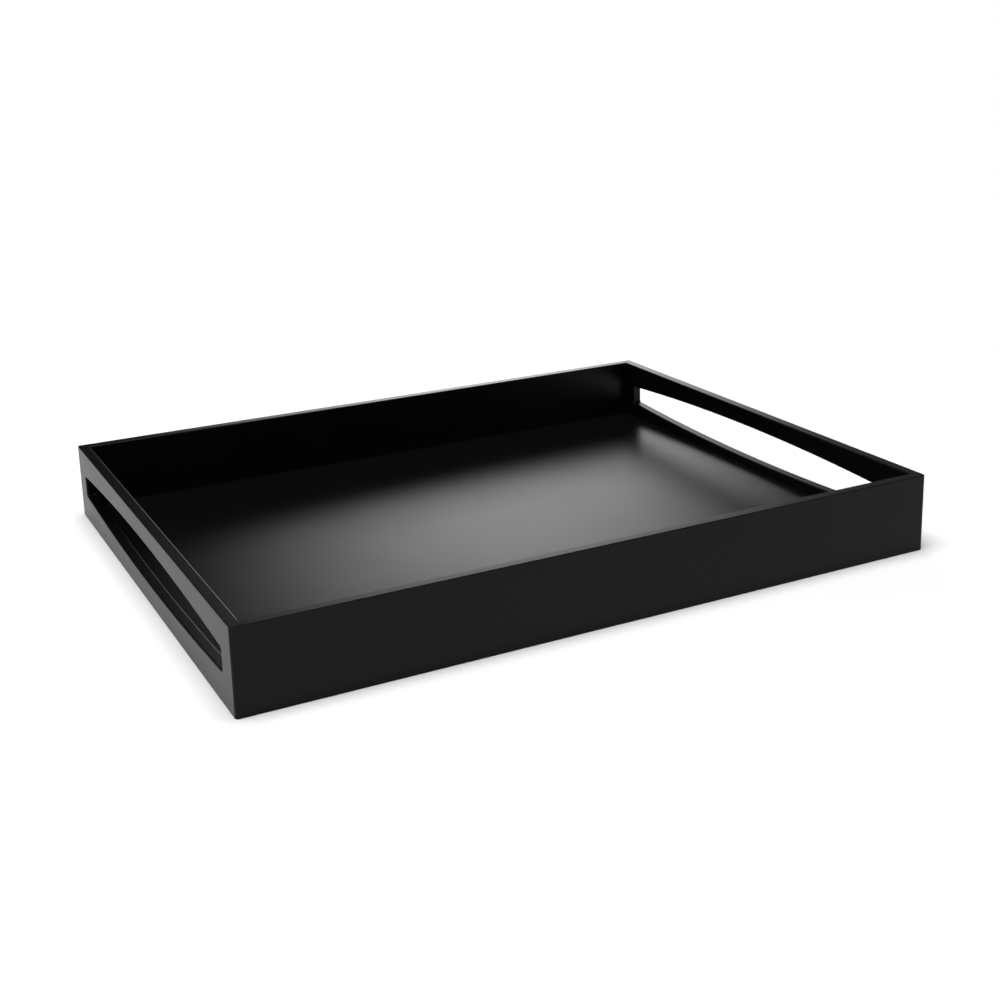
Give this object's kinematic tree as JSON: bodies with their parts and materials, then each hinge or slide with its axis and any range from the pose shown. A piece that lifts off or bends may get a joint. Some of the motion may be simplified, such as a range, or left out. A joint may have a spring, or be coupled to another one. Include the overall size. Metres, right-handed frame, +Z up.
{
  "type": "serving tray",
  "caption": "Rectangular serving tray with low mitred walls, a flat floor panel let into a groove and a barrel-shaped handle slot through each end wall.",
  "frame": {"origin": "on the table, under the middle of the tray", "axes": "+X along the long walls, towards the right handle end; +Y from the front wall to the back wall; +Z up"},
  "size_m": [0.45, 0.35, 0.05],
  "materials": {
    "black_lacquer": "satin black lacquer over smooth board",
    "bare_plywood": "bare, hidden in the joint"
  },
  "bodies": {
    "root": {"front_wall": "black_lacquer", "back_wall": "black_lacquer", "left_handle_end": "black_lacquer", "right_handle_end": "black_lacquer", "base_panel": "black_lacquer", "corner_spline_front_left": "bare_plywood", "corner_spline_front_right": "bare_plywood", "corner_spline_back_left": "bare_plywood", "corner_spline_back_right": "bare_plywood"}
  },
  "joints": []
}
